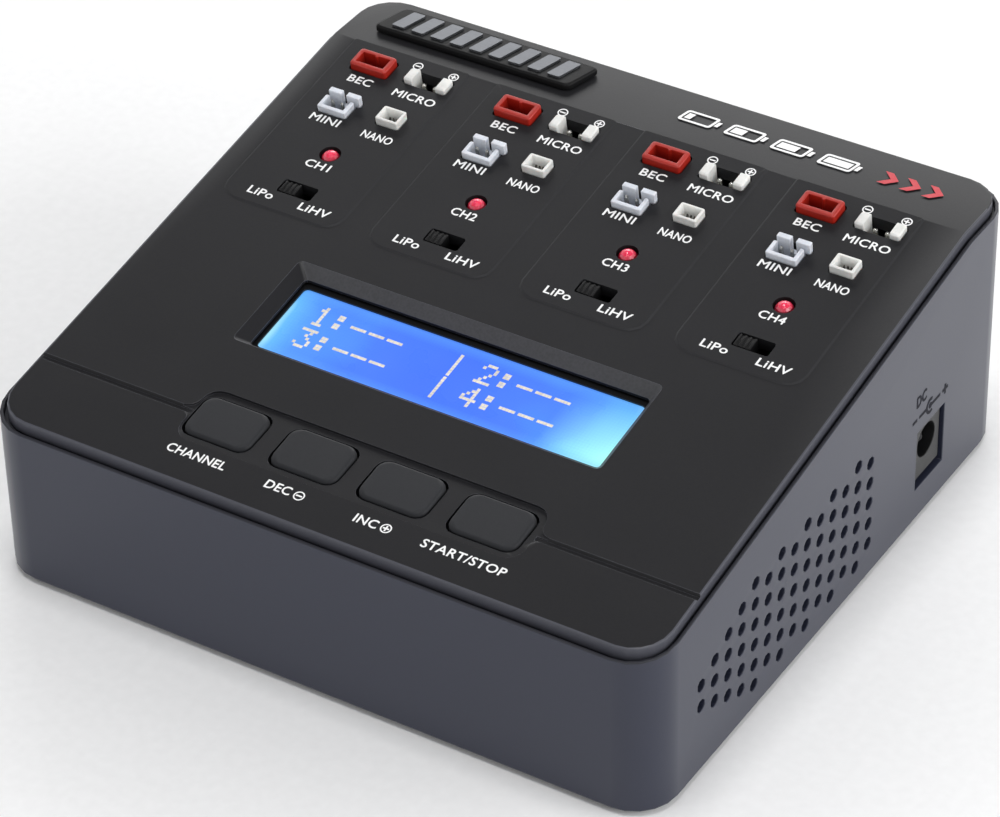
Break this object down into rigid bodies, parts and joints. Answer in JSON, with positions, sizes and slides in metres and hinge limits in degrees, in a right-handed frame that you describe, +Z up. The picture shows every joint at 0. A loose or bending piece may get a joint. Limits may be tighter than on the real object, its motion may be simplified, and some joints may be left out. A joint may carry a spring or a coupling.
{
  "type": "balance battery charger",
  "caption": "Wedge-shaped mains-adapter charger for single-cell model batteries: vented case, sloping control panel with display, keys, selector switches and battery outlets.",
  "frame": {"origin": "middle of the case's footprint on the surface that the feet stand on", "axes": "+X to the right seen from the front, +Y to the back, +Z up"},
  "size_m": [0.127, 0.1208, 0.0508],
  "materials": {
    "case": "satin blue-grey moulded ABS",
    "cover": "fine-textured charcoal ABS",
    "badge": "black, satin",
    "key": "matte soft-touch black",
    "knob": "black, ribbed",
    "black_plastic": "moulded black",
    "red_plastic": "moulded red nylon",
    "white_plastic": "moulded natural white nylon",
    "ice_plastic": "moulded bluish-white nylon",
    "lens": "clear red lamp lens",
    "jack": "moulded dark grey",
    "display_frame": "black painted steel bezel",
    "display_glass": "blue backlit character display",
    "diffuser": "milky light box",
    "circuit": "green solder mask",
    "steel": "zinc plated",
    "foot": "black rubber",
    "ribbon": "grey flat cable"
  },
  "bodies": {
    "housing": {"lower_case": "case", "top_cover": "cover", "badge_plate": "badge", "lcd_frame": "display_frame", "lcd_glass": "display_glass", "lcd_backlight": "diffuser", "lcd_board": "circuit", "channel_board": "circuit", "key_board": "circuit", "main_board": "circuit", "dc_jack": "jack", "microcontroller": "black_plastic", "buzzer": "black_plastic", "capacitor": "steel", "ribbon_channels": "ribbon", "ribbon_keys": "ribbon", "key_switch_1": "black_plastic", "slide_body_1": "steel", "led_1": "lens", "red_socket_1": "red_plastic", "pin_socket_1": "ice_plastic", "square_socket_1": "white_plastic", "lug_socket_1": "white_plastic", "case_screw_1": "steel", "foot_1": "foot", "key_switch_2": "black_plastic", "slide_body_2": "steel", "led_2": "lens", "red_socket_2": "red_plastic", "pin_socket_2": "ice_plastic", "square_socket_2": "white_plastic", "lug_socket_2": "white_plastic", "case_screw_2": "steel", "foot_2": "foot", "key_switch_3": "black_plastic", "slide_body_3": "steel", "led_3": "lens", "red_socket_3": "red_plastic", "pin_socket_3": "ice_plastic", "square_socket_3": "white_plastic", "lug_socket_3": "white_plastic", "case_screw_3": "steel", "foot_3": "foot", "key_switch_4": "black_plastic", "slide_body_4": "steel", "led_4": "lens", "red_socket_4": "red_plastic", "pin_socket_4": "ice_plastic", "square_socket_4": "white_plastic", "lug_socket_4": "white_plastic", "case_screw_4": "steel", "foot_4": "foot"},
    "key_1": {"key_cap_1": "key"},
    "key_2": {"key_cap_2": "key"},
    "key_3": {"key_cap_3": "key"},
    "key_4": {"key_cap_4": "key"},
    "selector_1": {"slide_knob_1": "knob"},
    "selector_2": {"slide_knob_2": "knob"},
    "selector_3": {"slide_knob_3": "knob"},
    "selector_4": {"slide_knob_4": "knob"}
  },
  "joints": [
    {"name": "key_press_1", "type": "slide", "parent": "housing", "child": "key_1", "axis": [0, 0.1585, -0.9874], "range_m": [0, 0.0005], "stiffness_N_per_m": 800},
    {"name": "key_press_2", "type": "slide", "parent": "housing", "child": "key_2", "axis": [0, 0.1585, -0.9874], "range_m": [0, 0.0005], "stiffness_N_per_m": 800},
    {"name": "key_press_3", "type": "slide", "parent": "housing", "child": "key_3", "axis": [0, 0.1585, -0.9874], "range_m": [0, 0.0005], "stiffness_N_per_m": 800},
    {"name": "key_press_4", "type": "slide", "parent": "housing", "child": "key_4", "axis": [0, 0.1585, -0.9874], "range_m": [0, 0.0005], "stiffness_N_per_m": 800},
    {"name": "selector_slide_1", "type": "slide", "parent": "housing", "child": "selector_1", "axis": [1, 0, 0], "range_m": [0, 0.003]},
    {"name": "selector_slide_2", "type": "slide", "parent": "housing", "child": "selector_2", "axis": [1, 0, 0], "range_m": [0, 0.003]},
    {"name": "selector_slide_3", "type": "slide", "parent": "housing", "child": "selector_3", "axis": [1, 0, 0], "range_m": [0, 0.003]},
    {"name": "selector_slide_4", "type": "slide", "parent": "housing", "child": "selector_4", "axis": [1, 0, 0], "range_m": [0, 0.003]}
  ]
}
